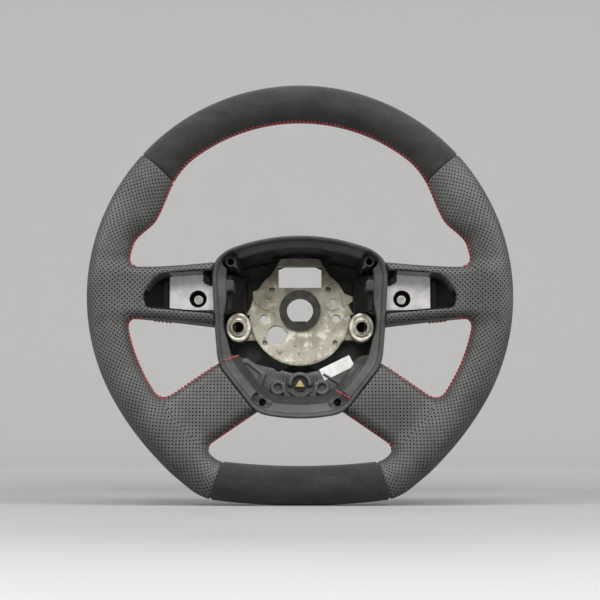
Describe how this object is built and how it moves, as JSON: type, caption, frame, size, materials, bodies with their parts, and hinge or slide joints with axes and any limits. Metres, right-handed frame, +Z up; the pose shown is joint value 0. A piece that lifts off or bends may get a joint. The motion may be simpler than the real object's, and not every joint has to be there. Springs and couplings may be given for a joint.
{
  "type": "steering wheel",
  "caption": "Flat-bottom four-spoke car steering wheel with airbag and switches removed, suede and perforated leather grip, cast hub and splined steel boss.",
  "frame": {"origin": "on the steering axis, at the rear face of the splined boss", "axes": "+Y along the steering axis, away from the driver and into the column; +Z up with the road wheels straight; +X to the driver's right"},
  "size_m": [0.375, 0.104, 0.3719],
  "materials": {
    "cast_alloy": "sand-toned cast light alloy",
    "boss_steel": "turned steel, darkened",
    "core_steel": "bare steel bar",
    "foam": "moulded dense foam",
    "suede": "short-nap suede",
    "perforated_leather": "grained leather with small punched holes",
    "thread": "twisted sewing thread",
    "black_plastic": "fine-textured moulded plastic",
    "gloss_black": "polished moulded plastic",
    "rubber": "soft matt rubber",
    "screw_steel": "zinc-plated screw",
    "machined_alloy": "machined, with fine turning rings",
    "spring_steel": "oiled spring wire",
    "contact_brass": "stamped brass",
    "label_paper": "blank paper label"
  },
  "bodies": {
    "wheel": {"hub_casting": "cast_alloy", "splined_boss": "boss_steel", "rim_core": "core_steel", "rim_foam": "foam", "top_suede_wrap": "suede", "bottom_suede_wrap": "suede", "left_leather_wrap": "perforated_leather", "right_leather_wrap": "perforated_leather", "top_thread": "thread", "rear_cover": "black_plastic", "bowl_trim": "black_plastic", "lower_tray": "black_plastic", "left_pocket_liner": "gloss_black", "right_pocket_liner": "gloss_black", "left_arm_shroud": "black_plastic", "right_arm_shroud": "black_plastic", "left_bumper": "rubber", "right_bumper": "rubber", "left_pocket_screw": "screw_steel", "right_pocket_screw": "screw_steel", "left_pin_socket": "machined_alloy", "right_pin_socket": "machined_alloy", "contact_holder": "black_plastic", "cover_screws": "screw_steel", "part_label": "label_paper"},
    "left_spring": {"left_retaining_spring": "spring_steel"},
    "right_spring": {"right_retaining_spring": "spring_steel"},
    "contact": {"horn_contact": "contact_brass"}
  },
  "joints": [
    {"name": "left_spring_slide", "type": "slide", "parent": "wheel", "child": "left_spring", "axis": [-1, 0, 0], "range_m": [0, 0.003], "stiffness_N_per_m": 600},
    {"name": "right_spring_slide", "type": "slide", "parent": "wheel", "child": "right_spring", "axis": [1, 0, 0], "range_m": [0, 0.003], "stiffness_N_per_m": 600},
    {"name": "horn_contact_slide", "type": "slide", "parent": "wheel", "child": "contact", "axis": [0, 1, 0], "range_m": [0, 0.002], "stiffness_N_per_m": 400}
  ]
}
